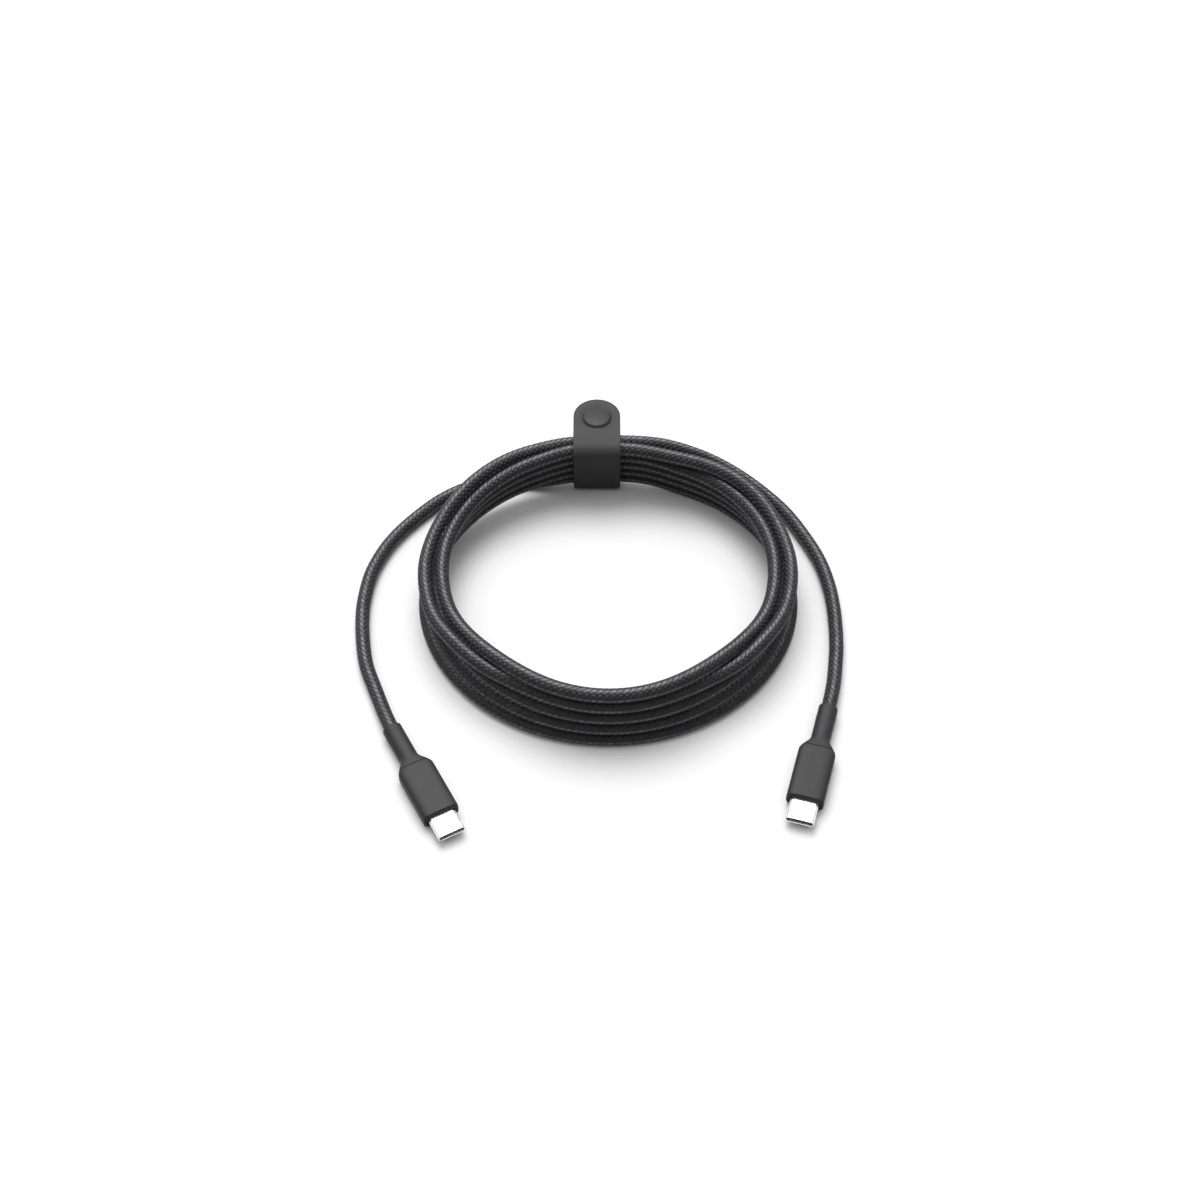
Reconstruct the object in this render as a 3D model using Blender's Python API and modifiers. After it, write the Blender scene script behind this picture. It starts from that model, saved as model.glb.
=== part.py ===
"""Coiled braided charging cable with a reversible plug at each end and a snap strap.

Metres, +Z up. The cable lies on the ground: five turns stacked in a ring, a tail to
each plug, and a strap with a press stud holding the turns together at the back.
"""
from math import cos, floor, pi, radians, sin

import bmesh
import bpy
from mathutils import Matrix, Vector

MM = 0.001

# Driving dimensions, in millimetres ------------------------------------------------
CORD = 4.4                 # diameter over the braid
CORE_INSET = 0.15          # the plain cord solids stay this far under the braid's crests
TOUCH = 0.3                # gap between pieces that rest on each other
FIT = 0.1                  # gap between the small pieces inside a plug

RING_CENTRE = (3.0, 11.6)  # middle of the coil, seen from above
RING_RADIUS = 53.9         # mean radius of the turn that lies on the ground
RING_WIDE = 2.4            # the ring is wider left to right than front to back
RING_SQUARE = 0.45         # and a little flatter at the back than at the front
STRAP_LIFT = 1.5           # how far the strap under the turns lifts them

STRAP_X = -0.55            # middle of the strap
STRAP_WIDTH = 15.0
STRAP_THICK = 1.2
STRAP_CLEAR = 0.3          # between the strap and the braid
SNAP_Y = 69.4              # middle of the press stud
TAB_ROUND_Y = 70.1         # centre of the strap's round ends
HINGE_Y = 61.5             # line on which the free end of the strap bends up
LOWER_LEAF_Z = 19.4        # middle of the strap's lower end
TAB_Z = 22.9               # middle of the strap's upper end

SNAP_GAP = 0.05            # between the press stud and the strap
CAP_RADIUS = 4.7
POST_RADIUS = 1.2          # of the cap, through the upper strap end
SOCKET_RADIUS = 3.8
STUD_RADIUS = 3.2
KNOB_RADIUS = 1.4          # of the stud, in the socket
RIVET_RADIUS = 1.9

PLUG_AXIS_Z = 2.95         # height of the plugs' centre line over the ground
NECK_LENGTH = 12.3         # slim part behind the shoulder
PARTING = 15.6             # where the strain relief meets the housing
SHOULDER_END = 17.2        # where the housing reaches its full width
HOUSING_END = 33.8         # front face of the housing
TIP_END = 40.6             # mouth of the metal shell
NECK_HALF = (2.85, 2.7)    # half width and half height of the neck
BODY_HALF = (5.4, 2.95)    # half width and half height of the housing
SHELL_HALF = (4.125, 1.2)  # half width and half height of the metal shell
SHELL_WALL = 0.3
SHELL_BACK = 31.0          # rear end of the shell, inside the housing
HOUSING_WALL = 0.65

JACKET_RADIUS = 1.65       # the cable's inner jacket, inside the plug
JACKET_END = 19.0
WIRE_RADIUS = 0.27
SHIELD_SPAN = (19.9, 33.0)
BOARD_SPAN = (21.0, 30.2)
BOARD_HALF = (4.0, 0.3)    # half width and half thickness of the circuit board
CONTACT_PITCH = 0.5
CONTACT_WIDTH = 0.22
CONTACT_COUNT = 12
CONTACT_SPAN = (29.2, 39.4)
CONTACT_BAR = (31.8, 32.4) # the strip that joins a row of contacts
LATCH_SPAN = (30.5, 39.6)
LATCH_HALF = (3.45, 2.98)  # outer and inner half width of the latch plate

# Name, place of the cable end of the plug, and direction of the plug from above
PLUGS = (("left", (-60.2, -37.7), radians(-61.5)),
         ("right", (67.6, -30.4), radians(-106.0)))

# Moves the model so that its origin is under the middle of its bounding box
ORIGIN_SHIFT = (0.114, -1.119)

# The winding of the coil, in angles clockwise from the back, seen from above. Each
# turn climbs one level at the back left, between the two climb angles.
CLIMB_START = radians(-78)
CLIMB_END = radians(-20)
COIL_START = radians(-8)
COIL_END = 10 * pi + radians(4)
LAST_TURN = 8 * pi + CLIMB_END
LAST_TURN_PRESS = 0.1      # how far the last turn presses into its neighbour
LAST_TURN_PARTS = (0.6, 0.9)  # and how far it stands off on the right and on the left
TAIL_STAND_OFF = 0.5       # keeps the right tail outside the coil solid's flat side
COIL_SIDES = 16            # corners of the coil solid's outline
COIL_SECTIONS = 68         # outlines along the stretch with five turns

# Hand-chosen points of the two tails, from the coil to the plug --------------------
LEFT_ROUTE = ((-9.5, 62.1, 3.5), (-18, 61.4, 2.6), (-28, 61.2, 2.2), (-36, 60.2, 2.2),
              (-44.2, 57.3, 2.2), (-51.5, 52.3, 2.2), (-58, 45.6, 2.2), (-63.8, 38.2, 2.2),
              (-67.9, 30.8, 2.2), (-70.9, 22.2, 2.2), (-72.2, 13.3, 2.2), (-72.4, 5.4, 2.2),
              (-71.5, -4.3, 2.2), (-69.7, -13.8, 2.2), (-66.4, -22.7, 2.2),
              (-62.9, -31.6, 2.45))
RIGHT_ROUTE = ((14, 62.4, 19.0), (21, 62.3, 17.9), (28.6, 61.7, 15.6), (36.4, 60.8, 12.2),
               (44.5, 58.5, 8.3), (52.3, 54.1, 5.0), (59.6, 47.2, 2.8), (65.0, 37.9, 2.2),
               (69.2, 27.7, 2.2), (71.45, 17.7, 2.2), (72.35, 7.4, 2.2), (72.15, -4.3, 2.2),
               (71.35, -11.9, 2.2), (69.9, -21.2, 2.45))


# Scene, materials and small helpers ------------------------------------------------
for leftover in list(bpy.data.objects):
    bpy.data.objects.remove(leftover)


def new_collection(name):
    made = bpy.data.collections.new(name)
    bpy.context.scene.collection.children.link(made)
    return made


PARTS = new_collection("charging_cable")
CUTTERS = new_collection("cutters")


def material(name, colour, roughness, metallic=0.0):
    made = bpy.data.materials.new(name)
    made.use_nodes = True
    shader = made.node_tree.nodes["Principled BSDF"]
    shader.inputs["Base Color"].default_value = (*colour, 1.0)
    shader.inputs["Roughness"].default_value = roughness
    shader.inputs["Metallic"].default_value = metallic
    return made


BRAID = material("braid", (0.020, 0.020, 0.024), 0.75)
OVERMOULD = material("overmould", (0.035, 0.035, 0.037), 0.55)
STRAP = material("strap", (0.045, 0.045, 0.048), 0.60)
PLATED = material("plated_steel", (0.80, 0.80, 0.79), 0.25, 1.0)
GOLD = material("gold_contact", (0.90, 0.66, 0.28), 0.28, 1.0)
INSULATOR = material("insulator", (0.015, 0.015, 0.016), 0.50)
LAMINATE = material("laminate", (0.02, 0.16, 0.08), 0.45)
CHIP = material("chip", (0.02, 0.02, 0.02), 0.40)
SNAP_BLACK = material("snap_black", (0.03, 0.03, 0.032), 0.35, 0.6)
WIRE_COLOURS = {"power": material("wire_red", (0.55, 0.03, 0.02), 0.45),
                "ground": material("wire_black", (0.02, 0.02, 0.02), 0.45),
                "data": material("wire_green", (0.03, 0.35, 0.08), 0.45),
                "config": material("wire_white", (0.75, 0.75, 0.73), 0.45)}


def anchor(name, place=(0.0, 0.0, 0.0), turn=0.0, parent=None):
    """An empty that other pieces are parented to. Place in millimetres."""
    made = bpy.data.objects.new(name, None)
    made.location = Vector(place) * MM
    made.rotation_euler = (0.0, 0.0, turn)
    made.parent = parent
    PARTS.objects.link(made)
    return made


def add_object(name, data, finish, parent, group=None):
    made = bpy.data.objects.new(name, data)
    data.materials.append(finish)
    made.parent = parent
    (group or PARTS).objects.link(made)
    return made


def mesh_object(name, form, finish, parent, group=None, smooth_angle=35.0):
    """Turn a bmesh in millimetres into an object in metres."""
    bmesh.ops.scale(form, vec=(MM, MM, MM), verts=form.verts)
    bmesh.ops.recalc_face_normals(form, faces=form.faces)
    data = bpy.data.meshes.new(name)
    form.to_mesh(data)
    form.free()
    data.shade_smooth()
    data.set_sharp_from_angle(angle=radians(smooth_angle))
    return add_object(name, data, finish, parent, group)


def block(x_range, y_half, z_range):
    """A box along the plug's axis, centred left to right."""
    form = bmesh.new()
    size = (x_range[1] - x_range[0], 2 * y_half, z_range[1] - z_range[0])
    middle = ((x_range[0] + x_range[1]) / 2, 0.0, (z_range[0] + z_range[1]) / 2)
    place = Matrix.Translation(middle) @ Matrix.Diagonal((*size, 1.0))
    bmesh.ops.create_cube(form, size=1.0, matrix=place)
    return form


def rod(radius, x_range, sides=20):
    """A round bar along the plug's axis."""
    form = bmesh.new()
    middle = ((x_range[0] + x_range[1]) / 2, 0.0, 0.0)
    place = Matrix.Translation(middle) @ Matrix.Rotation(pi / 2, 4, "Y")
    bmesh.ops.create_cone(form, cap_ends=True, segments=sides, radius1=radius, radius2=radius,
                          depth=x_range[1] - x_range[0], matrix=place)
    return form


def loft(sections, closed=False):
    """Join rings of points, all with the same count, by a skin."""
    form = bmesh.new()
    rings = [[form.verts.new(point) for point in section] for section in sections]
    count = len(rings[0])
    pairs = list(zip(rings, rings[1:]))
    if closed:
        pairs.append((rings[-1], rings[0]))
    for near, far in pairs:
        for i in range(count):
            j = (i + 1) % count
            form.faces.new((near[i], near[j], far[j], far[i]))
    if not closed:
        form.faces.new(rings[0])
        form.faces.new(rings[-1])
    return form


def bevel(piece, width, segments=2, angle=40.0):
    rounding = piece.modifiers.new("edges", "BEVEL")
    rounding.width = width * MM
    rounding.segments = segments
    rounding.limit_method = "ANGLE"
    rounding.angle_limit = radians(angle)


def cut(piece, cutter):
    """Subtract one object from another and keep the cutter as a guide."""
    cutter.hide_render = True
    cutter.display_type = "WIRE"
    removal = piece.modifiers.new("cut", "BOOLEAN")
    removal.operation = "DIFFERENCE"
    removal.solver = "EXACT"
    removal.object = cutter


def tube(name, points, radius, finish, parent, resolution=2):
    """A wire or cord through points in millimetres, with closed ends."""
    data = bpy.data.curves.new(name, "CURVE")
    data.dimensions = "3D"
    data.bevel_depth = radius * MM
    data.bevel_resolution = resolution
    data.use_fill_caps = True
    spline = data.splines.new("POLY")
    spline.points.add(len(points) - 1)
    for place, point in zip(points, spline.points):
        point.co = (place[0] * MM, place[1] * MM, place[2] * MM, 1.0)
    return add_object(name, data, finish, parent)


def plate(name, outline, thickness, height, finish, parent):
    """A flat piece cut from sheet: its outline from above, and its middle height."""
    data = bpy.data.curves.new(name, "CURVE")
    data.dimensions = "2D"
    data.fill_mode = "BOTH"
    data.extrude = thickness * MM / 2
    spline = data.splines.new("POLY")
    spline.use_cyclic_u = True
    spline.points.add(len(outline) - 1)
    for place, point in zip(outline, spline.points):
        point.co = (place[0] * MM, place[1] * MM, 0.0, 1.0)
    made = add_object(name, data, finish, parent)
    made.location.z = height * MM
    return made


def turned(name, profile, finish, parent, ring=False, steps=28):
    """A round piece from a profile of (radius, height), run down its outer side."""
    data = bpy.data.meshes.new(name)
    corners = [(radius * MM, 0.0, height * MM) for radius, height in profile]
    edges = [(i, i + 1) for i in range(len(corners) - 1)]
    if ring:
        edges.append((len(corners) - 1, 0))
    data.from_pydata(corners, edges, [])
    made = add_object(name, data, finish, parent)
    screw = made.modifiers.new("turn", "SCREW")
    screw.steps = steps
    screw.render_steps = steps
    screw.use_merge_vertices = True
    screw.merge_threshold = 0.000005
    screw.use_smooth_shade = True
    return made


def smooth_step(t):
    t = min(1.0, max(0.0, t))
    return t * t * (3.0 - 2.0 * t)


def smooth_curve(points, spacing):
    """Points about every `spacing` along a smooth curve through the given points."""
    knots = [Vector(point) for point in points]
    knots = [2 * knots[0] - knots[1]] + knots + [2 * knots[-1] - knots[-2]]
    dense = []
    for a, b, c, d in zip(knots, knots[1:], knots[2:], knots[3:]):
        pieces = 12
        for step in range(pieces):
            t = step / pieces
            dense.append(0.5 * ((2 * b) + (c - a) * t + (2 * a - 5 * b + 4 * c - d) * t * t
                                + (3 * b - a - 3 * c + d) * t ** 3))
    dense.append(knots[-2])
    lengths = [0.0]
    for a, b in zip(dense, dense[1:]):
        lengths.append(lengths[-1] + (b - a).length)
    count = round(lengths[-1] / spacing)
    even = []
    at = 0
    for step in range(count + 1):
        target = lengths[-1] * step / count
        while at < len(lengths) - 2 and lengths[at + 1] < target:
            at += 1
        share = (target - lengths[at]) / (lengths[at + 1] - lengths[at])
        even.append(dense[at].lerp(dense[at + 1], share))
    return even


# The way the cord lies in the coil -------------------------------------------------
# The fourth turn rises to the top at the front, and the last turn rolls around it:
# beside it on the right and left, under it at the front.
def ring_radius(a):
    return RING_RADIUS - RING_WIDE * cos(2 * a) - RING_SQUARE * cos(3 * a)


def lean(a):
    """How far the stack leans inwards: 15 degrees at the back, 26 at the sides, 8 in front."""
    return radians(18.6 - 7.1 * cos(2 * a) + 3.5 * cos(3 * a))


def lift(a):
    wrapped = (a + pi) % (2 * pi) - pi
    return STRAP_LIFT * (1.0 - smooth_step((abs(wrapped) - 0.18) / 0.35))


def level(a):
    turn = floor((a - CLIMB_START) / (2 * pi))
    climbed = smooth_step((a - CLIMB_START - turn * 2 * pi) / (CLIMB_END - CLIMB_START))
    height = turn - 1 + climbed
    if 6 * pi < a < 8 * pi:
        height += smooth_step((-cos(a) - 0.2) / 0.7)
    return height


def stack_place(a, height):
    """Radius and height of the cord's middle at a level of the leaning stack."""
    return (ring_radius(a) - height * CORD * sin(lean(a)),
            CORD / 2 + lift(a) + height * CORD * cos(lean(a)))


def roll(a):
    """Direction from the fourth turn to the last one: 0 is outwards, a quarter turn is up."""
    past = a - 8 * pi
    direction = (pi / 2 + lean(a)) * (1.0 - smooth_step((past - radians(12)) / radians(68)))
    direction -= radians(80) * smooth_step((-cos(a) - 0.42) / 0.55)
    direction += radians(28) * smooth_step((past - radians(275)) / radians(28))
    direction -= radians(43) * smooth_step((past - radians(312)) / radians(42))
    return direction


def stretch(a, rise, fall):
    """Goes from 0 to 1 over the angles of its rise, and back to 0 over those of its fall."""
    up = smooth_step((a - radians(rise[0])) / radians(rise[1] - rise[0]))
    down = smooth_step((a - radians(fall[0])) / radians(fall[1] - fall[0]))
    return up - down


def last_turn_step(a):
    """Distance from the fourth turn to the last one: they part a little at both sides."""
    past = a - 8 * pi
    right = stretch(past, (68, 88), (100, 125))
    left = stretch(past, (230, 255), (271, 293))
    press = LAST_TURN_PRESS * smooth_step((a - LAST_TURN) / radians(20))
    return CORD - press + LAST_TURN_PARTS[0] * right + LAST_TURN_PARTS[1] * left


def coil_place(a):
    """Radius and height of the cord's middle after winding through an angle."""
    if a <= LAST_TURN:
        return stack_place(a, level(a))
    radius, height = stack_place(a, level(a - 2 * pi))
    step = last_turn_step(a)
    return radius + step * cos(roll(a)), height + step * sin(roll(a))


def on_ring(a, radius, height):
    return Vector((RING_CENTRE[0] + radius * sin(a), RING_CENTRE[1] + radius * cos(a), height))


def turns_at(a):
    """The (radius, height) of every turn that passes an angle between 0 and 360 degrees."""
    places = []
    winding = a - 2 * pi
    while winding <= COIL_END + 1e-6:
        if winding >= COIL_START - 1e-6:
            places.append(coil_place(winding))
        winding += 2 * pi
    return places


def hull_point(centres, direction, radius):
    """The point of the hull of equal circles that lies farthest in a direction."""
    farthest = max(centres, key=lambda c: c[0] * cos(direction) + c[1] * sin(direction))
    return farthest[0] + radius * cos(direction), farthest[1] + radius * sin(direction)


def make_coil(parent):
    """One closed solid with the outer shape of the wound turns."""
    step = radians(1.0)
    start = COIL_START % (2 * pi)
    end = COIL_END % (2 * pi)
    spacing = (start - end - 2 * step) / (COIL_SECTIONS - 1)
    five_turns = [end + step + spacing * i for i in range(COIL_SECTIONS)]
    six_turns = [start, start + radians(4), 2 * pi, 2 * pi + end]
    directions = [2 * pi * i / COIL_SIDES for i in range(COIL_SIDES)]
    sections = []
    for a in five_turns + six_turns:
        centres = turns_at(a % (2 * pi))
        outline = [hull_point(centres, t, CORD / 2 - CORE_INSET) for t in directions]
        sections.append([on_ring(a, *point) for point in outline])
    mesh_object("coil", loft(sections, closed=True), BRAID, parent)


def plug_end(plug, back):
    """A point on a plug's centre line, `back` millimetres behind its cable end."""
    _, (x, y), heading = plug
    return x - back * cos(heading), y - back * sin(heading), PLUG_AXIS_Z


def make_tails(parent):
    leave = radians(1.6)
    spacing = CORD * 2.2
    first = on_ring(COIL_START - leave, *coil_place(COIL_START))
    left = [first, *LEFT_ROUTE, plug_end(PLUGS[0], TOUCH)]
    radius, height = coil_place(COIL_END)
    last = on_ring(COIL_END + leave, radius + TAIL_STAND_OFF, height)
    right = [last, *RIGHT_ROUTE, plug_end(PLUGS[1], TOUCH)]
    for name, route in (("left_tail", left), ("right_tail", right)):
        tube(name, smooth_curve(route, spacing), CORD / 2 - CORE_INSET, BRAID, parent, resolution=3)


# Plugs -----------------------------------------------------------------------------
def rounded_section(x, half_width, half_height, power, count=24):
    """A rounded rectangle across the plug: a higher power has squarer corners."""
    points = []
    for i in range(count):
        t = 2 * pi * (i + 0.5) / count
        c = cos(t)
        s = sin(t)
        size = (abs(c) ** power + abs(s) ** power) ** (-1.0 / power)
        points.append((x, half_width * size * c, half_height * size * s))
    return points


def plug_section(x):
    """The overmoulded outside of the plug at a distance from its cable end."""
    t = smooth_step((x - NECK_LENGTH + 0.6) / (SHOULDER_END - NECK_LENGTH + 0.6))
    half_width = NECK_HALF[0] + (BODY_HALF[0] - NECK_HALF[0]) * t
    half_height = NECK_HALF[1] + (BODY_HALF[1] - NECK_HALF[1]) * t
    return rounded_section(x, half_width, half_height, 2.3 + 1.9 * t)


def make_strain_relief(side, parent):
    stations = [0.0, 4.0, 8.0, 11.7, 12.7, 13.7, 14.7, PARTING - TOUCH / 2]
    outside = loft([plug_section(x) for x in stations])
    piece = mesh_object(f"{side}_strain_relief", outside, OVERMOULD, parent)
    bore = mesh_object(f"{side}_relief_bore", rod(JACKET_RADIUS + FIT, (-1.0, PARTING + 1.0)),
                       OVERMOULD, parent, CUTTERS)
    cut(piece, bore)


def make_housing(side, parent):
    """The moulded grip: an outer form with a pocket, a front slot and a rear hole."""
    stations = [PARTING + TOUCH / 2, 16.5, SHOULDER_END, 22.0, 28.0, HOUSING_END - 0.5]
    sections = [plug_section(x) for x in stations]
    sections.append(rounded_section(HOUSING_END, BODY_HALF[0] - 0.45, BODY_HALF[1] - 0.35, 4.0))
    piece = mesh_object(f"{side}_plug_housing", loft(sections), OVERMOULD, parent)
    inner_top = BODY_HALF[1] - HOUSING_WALL
    room = block((16.5, HOUSING_END - 0.7), BODY_HALF[0] - HOUSING_WALL - 0.25, (-inner_top, inner_top))
    pocket = mesh_object(f"{side}_pocket", room, OVERMOULD, parent, CUTTERS)
    slot = mesh_object(f"{side}_front_slot",
                       loft([stadium(x, SHELL_HALF[0] + FIT, SHELL_HALF[1] + FIT)
                             for x in (HOUSING_END - 2.0, HOUSING_END + 1.0)]),
                       OVERMOULD, parent, CUTTERS)
    entry = mesh_object(f"{side}_cable_entry", rod(JACKET_RADIUS + FIT, (PARTING - 1.0, 17.5)),
                        OVERMOULD, parent, CUTTERS)
    for cutter in (pocket, slot, entry):
        cut(piece, cutter)


def stadium(x, half_width, half_height, count=28):
    """A slot-shaped outline across the plug, with fully round ends."""
    straight = half_width - half_height
    points = []
    for i in range(count):
        t = 2 * pi * (i + 0.5) / count
        shift = straight if cos(t) > 0 else -straight
        points.append((x, shift + half_height * cos(t), half_height * sin(t)))
    return points


def make_shell(side, parent):
    """The seamless metal mouth, open at both ends."""
    piece = mesh_object(f"{side}_plug_shell",
                        loft([stadium(x, *SHELL_HALF) for x in (SHELL_BACK, TIP_END)]), PLATED, parent)
    hollow = mesh_object(f"{side}_mouth",
                         loft([stadium(x, SHELL_HALF[0] - SHELL_WALL, SHELL_HALF[1] - SHELL_WALL)
                               for x in (SHELL_BACK - 1.0, TIP_END + 1.0)]), PLATED, parent, CUTTERS)
    cut(piece, hollow)


def comb_outline():
    """A strip of contacts joined by a bar, as one row is before it is moulded in."""
    def edge(side_end, bar_end, order):
        points = []
        for i in order:
            middle = (i - (CONTACT_COUNT - 1) / 2) * CONTACT_PITCH
            first = middle - CONTACT_WIDTH / 2
            second = middle + CONTACT_WIDTH / 2
            if side_end < bar_end:
                first, second = second, first
            points += [(bar_end, first), (side_end, first), (side_end, second), (bar_end, second)]
        return points
    forward = edge(CONTACT_SPAN[1], CONTACT_BAR[1], range(CONTACT_COUNT))
    backward = edge(CONTACT_SPAN[0], CONTACT_BAR[0], reversed(range(CONTACT_COUNT)))
    return forward + backward


def make_contacts(side, parent):
    outline = comb_outline()
    for row, direction in (("upper", 1), ("lower", -1)):
        plate(f"{side}_contacts_{row}", outline, 0.12, direction * 0.74, GOLD, parent)


def make_inner_frame(side, parent):
    """Contact carrier, the latch plate around it, and the circuit board with its chip."""
    carrier = mesh_object(f"{side}_contact_carrier", block((31.6, 36.2), 2.8, (-0.58, 0.58)),
                          INSULATOR, parent)
    bevel(carrier, 0.12, 1)
    back, front = LATCH_SPAN
    outer, inner = LATCH_HALF
    rear = back + 0.7
    latch = [(back, -outer), (front, -outer), (front, -inner), (rear, -inner),
             (rear, inner), (front, inner), (front, outer), (back, outer)]
    plate(f"{side}_latch_plate", latch, 0.3, 0.0, PLATED, parent)
    half_width, half_thick = BOARD_HALF
    laminate = block(BOARD_SPAN, half_width, (-half_thick, half_thick))
    board = mesh_object(f"{side}_circuit_board", laminate, LAMINATE, parent)
    bevel(board, 0.08, 1)
    package = block((24.4, 27.0), 1.3, (half_thick + FIT, 1.05))
    chip = mesh_object(f"{side}_marker_chip", package, CHIP, parent)
    bevel(chip, 0.08, 1)


def make_shields(side, parent):
    """Two pressed half cans that meet around the board."""
    half_width = 4.4
    top = 1.9
    seam = 0.06
    thick = 0.18
    for name, direction in (("upper", 1), ("lower", -1)):
        outline = [(-half_width, seam), (-half_width, top - 0.5), (-half_width + 0.5, top),
                   (half_width - 0.5, top), (half_width, top - 0.5), (half_width, seam)]
        inside = [(y + (thick if y < 0 else -thick), min(z, top - thick)) for y, z in reversed(outline)]
        form = loft([[(x, y, direction * z) for y, z in outline + inside] for x in SHIELD_SPAN])
        mesh_object(f"{side}_shield_{name}", form, PLATED, parent)


def make_cable_end(side, parent):
    """The stripped cable inside the plug, the ring crimped on it, and four wires."""
    mesh_object(f"{side}_jacket_end", rod(JACKET_RADIUS, (TOUCH, JACKET_END)), INSULATOR, parent)
    inner = JACKET_RADIUS + FIT
    profile = [(inner, 18.6), (inner + 0.35, 18.6), (inner + 0.35, 16.9), (inner, 16.9)]
    ring = turned(f"{side}_crimp_ring", profile, PLATED, parent, ring=True, steps=20)
    ring.rotation_euler = (0.0, pi / 2, 0.0)
    rise = BOARD_HALF[1] + WIRE_RADIUS + FIT + 0.01
    for i, (name, finish) in enumerate(WIRE_COLOURS.items()):
        up = 1 if i < 2 else -1
        out = -1 if i % 2 else 1
        route = [(JACKET_END + FIT, out * 0.7, up * 0.7), (19.9, out * 0.8, up * rise),
                 (20.8, out * 1.6, up * rise), (21.8, out * 2.6, up * rise),
                 (23.4, out * 3.1, up * rise)]
        tube(f"{side}_wire_{name}", smooth_curve(route, 0.5), WIRE_RADIUS, finish, parent)


# Strap and its press stud ----------------------------------------------------------
def strap_section_centres():
    """Places of the turns' middles under the strap, as (distance back, height)."""
    centres = []
    for degrees in (-12, -6, 0, 4):
        a = radians(degrees) % (2 * pi)
        for radius, height in turns_at(a) + [coil_place(COIL_START)]:
            centres.append((RING_CENTRE[1] + radius * cos(a), height))
    return centres


def strap_point(degrees):
    """A point of the strap's middle line, where it goes around the turns."""
    mid_radius = CORD / 2 + STRAP_CLEAR + STRAP_THICK / 2
    return hull_point(strap_section_centres(), radians(degrees), mid_radius)


def strap_loop_path():
    """Middle line of the strap: over the top, down inside, under, up outside, then out."""
    top_z = strap_point(90)[1]
    path = [(HINGE_Y - TOUCH / 2, top_z), (HINGE_Y - 1.2, top_z)]
    path += [strap_point(degrees) for degrees in (*range(90, 253, 18), 266, 274, *range(288, 361, 18))]
    side_y = path[-1][0]
    leaf = LOWER_LEAF_Z
    bend = 1.6
    path.append((side_y, leaf - bend - 4.0))
    for degrees in (0, 30, 60, 90):
        t = radians(degrees)
        path.append((side_y + bend * (1 - cos(t)), leaf - bend + bend * sin(t)))
    return path


def add_round_end(path, widths):
    """Continue a strap path level and outwards to a round end."""
    half = STRAP_WIDTH / 2
    height = path[-1][1]
    path.append((TAB_ROUND_Y, height))
    widths.append(half)
    for degrees in (15, 30, 45, 58, 70, 80, 86):
        t = radians(degrees)
        path.append((TAB_ROUND_Y + half * sin(t), height))
        widths.append(half * cos(t))


def strap_strip(name, path, widths, parent):
    """A band of constant thickness along a path in the plane across the turns."""
    form = bmesh.new()
    rows = []
    for (y, z), half in zip(path, widths):
        rows.append([form.verts.new((STRAP_X + share * half, y, z)) for share in (-1.0, 0.0, 1.0)])
    for near, far in zip(rows, rows[1:]):
        for i in range(2):
            form.faces.new((near[i], near[i + 1], far[i + 1], far[i]))
    piece = mesh_object(name, form, STRAP, parent)
    thickness = piece.modifiers.new("thickness", "SOLIDIFY")
    thickness.thickness = STRAP_THICK * MM
    thickness.offset = 0.0
    thickness.use_even_offset = True
    return piece


def stud_hole(name, radius, height, parent):
    form = bmesh.new()
    bmesh.ops.create_cone(form, cap_ends=True, segments=24, radius1=radius, radius2=radius, depth=3.0,
                          matrix=Matrix.Translation((STRAP_X, SNAP_Y, height)))
    return mesh_object(name, form, STRAP, parent, CUTTERS)


def make_strap(parent, hinge, hinge_height):
    half = STRAP_WIDTH / 2
    path = strap_loop_path()
    widths = [half] * len(path)
    add_round_end(path, widths)
    loop = strap_strip("strap_loop", path, widths, parent)
    cut(loop, stud_hole("lower_stud_hole", 0.95, LOWER_LEAF_Z, parent))

    hinge_z = strap_point(90)[1]
    path = [(HINGE_Y + TOUCH / 2, hinge_z), (HINGE_Y + 1.1, hinge_z - 0.15),
            (HINGE_Y + 2.2, TAB_Z + 0.15), (HINGE_Y + 3.3, TAB_Z), (HINGE_Y + 6.2, TAB_Z)]
    widths = [half] * len(path)
    add_round_end(path, widths)
    local = [(y - HINGE_Y, z - hinge_height) for y, z in path]
    flap = strap_strip("strap_flap", local, widths, hinge)
    hole = stud_hole("upper_stud_hole", POST_RADIUS + 0.15, TAB_Z, hinge)
    hole.location = Vector((0.0, -HINGE_Y, -hinge_height)) * MM
    cut(flap, hole)


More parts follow.
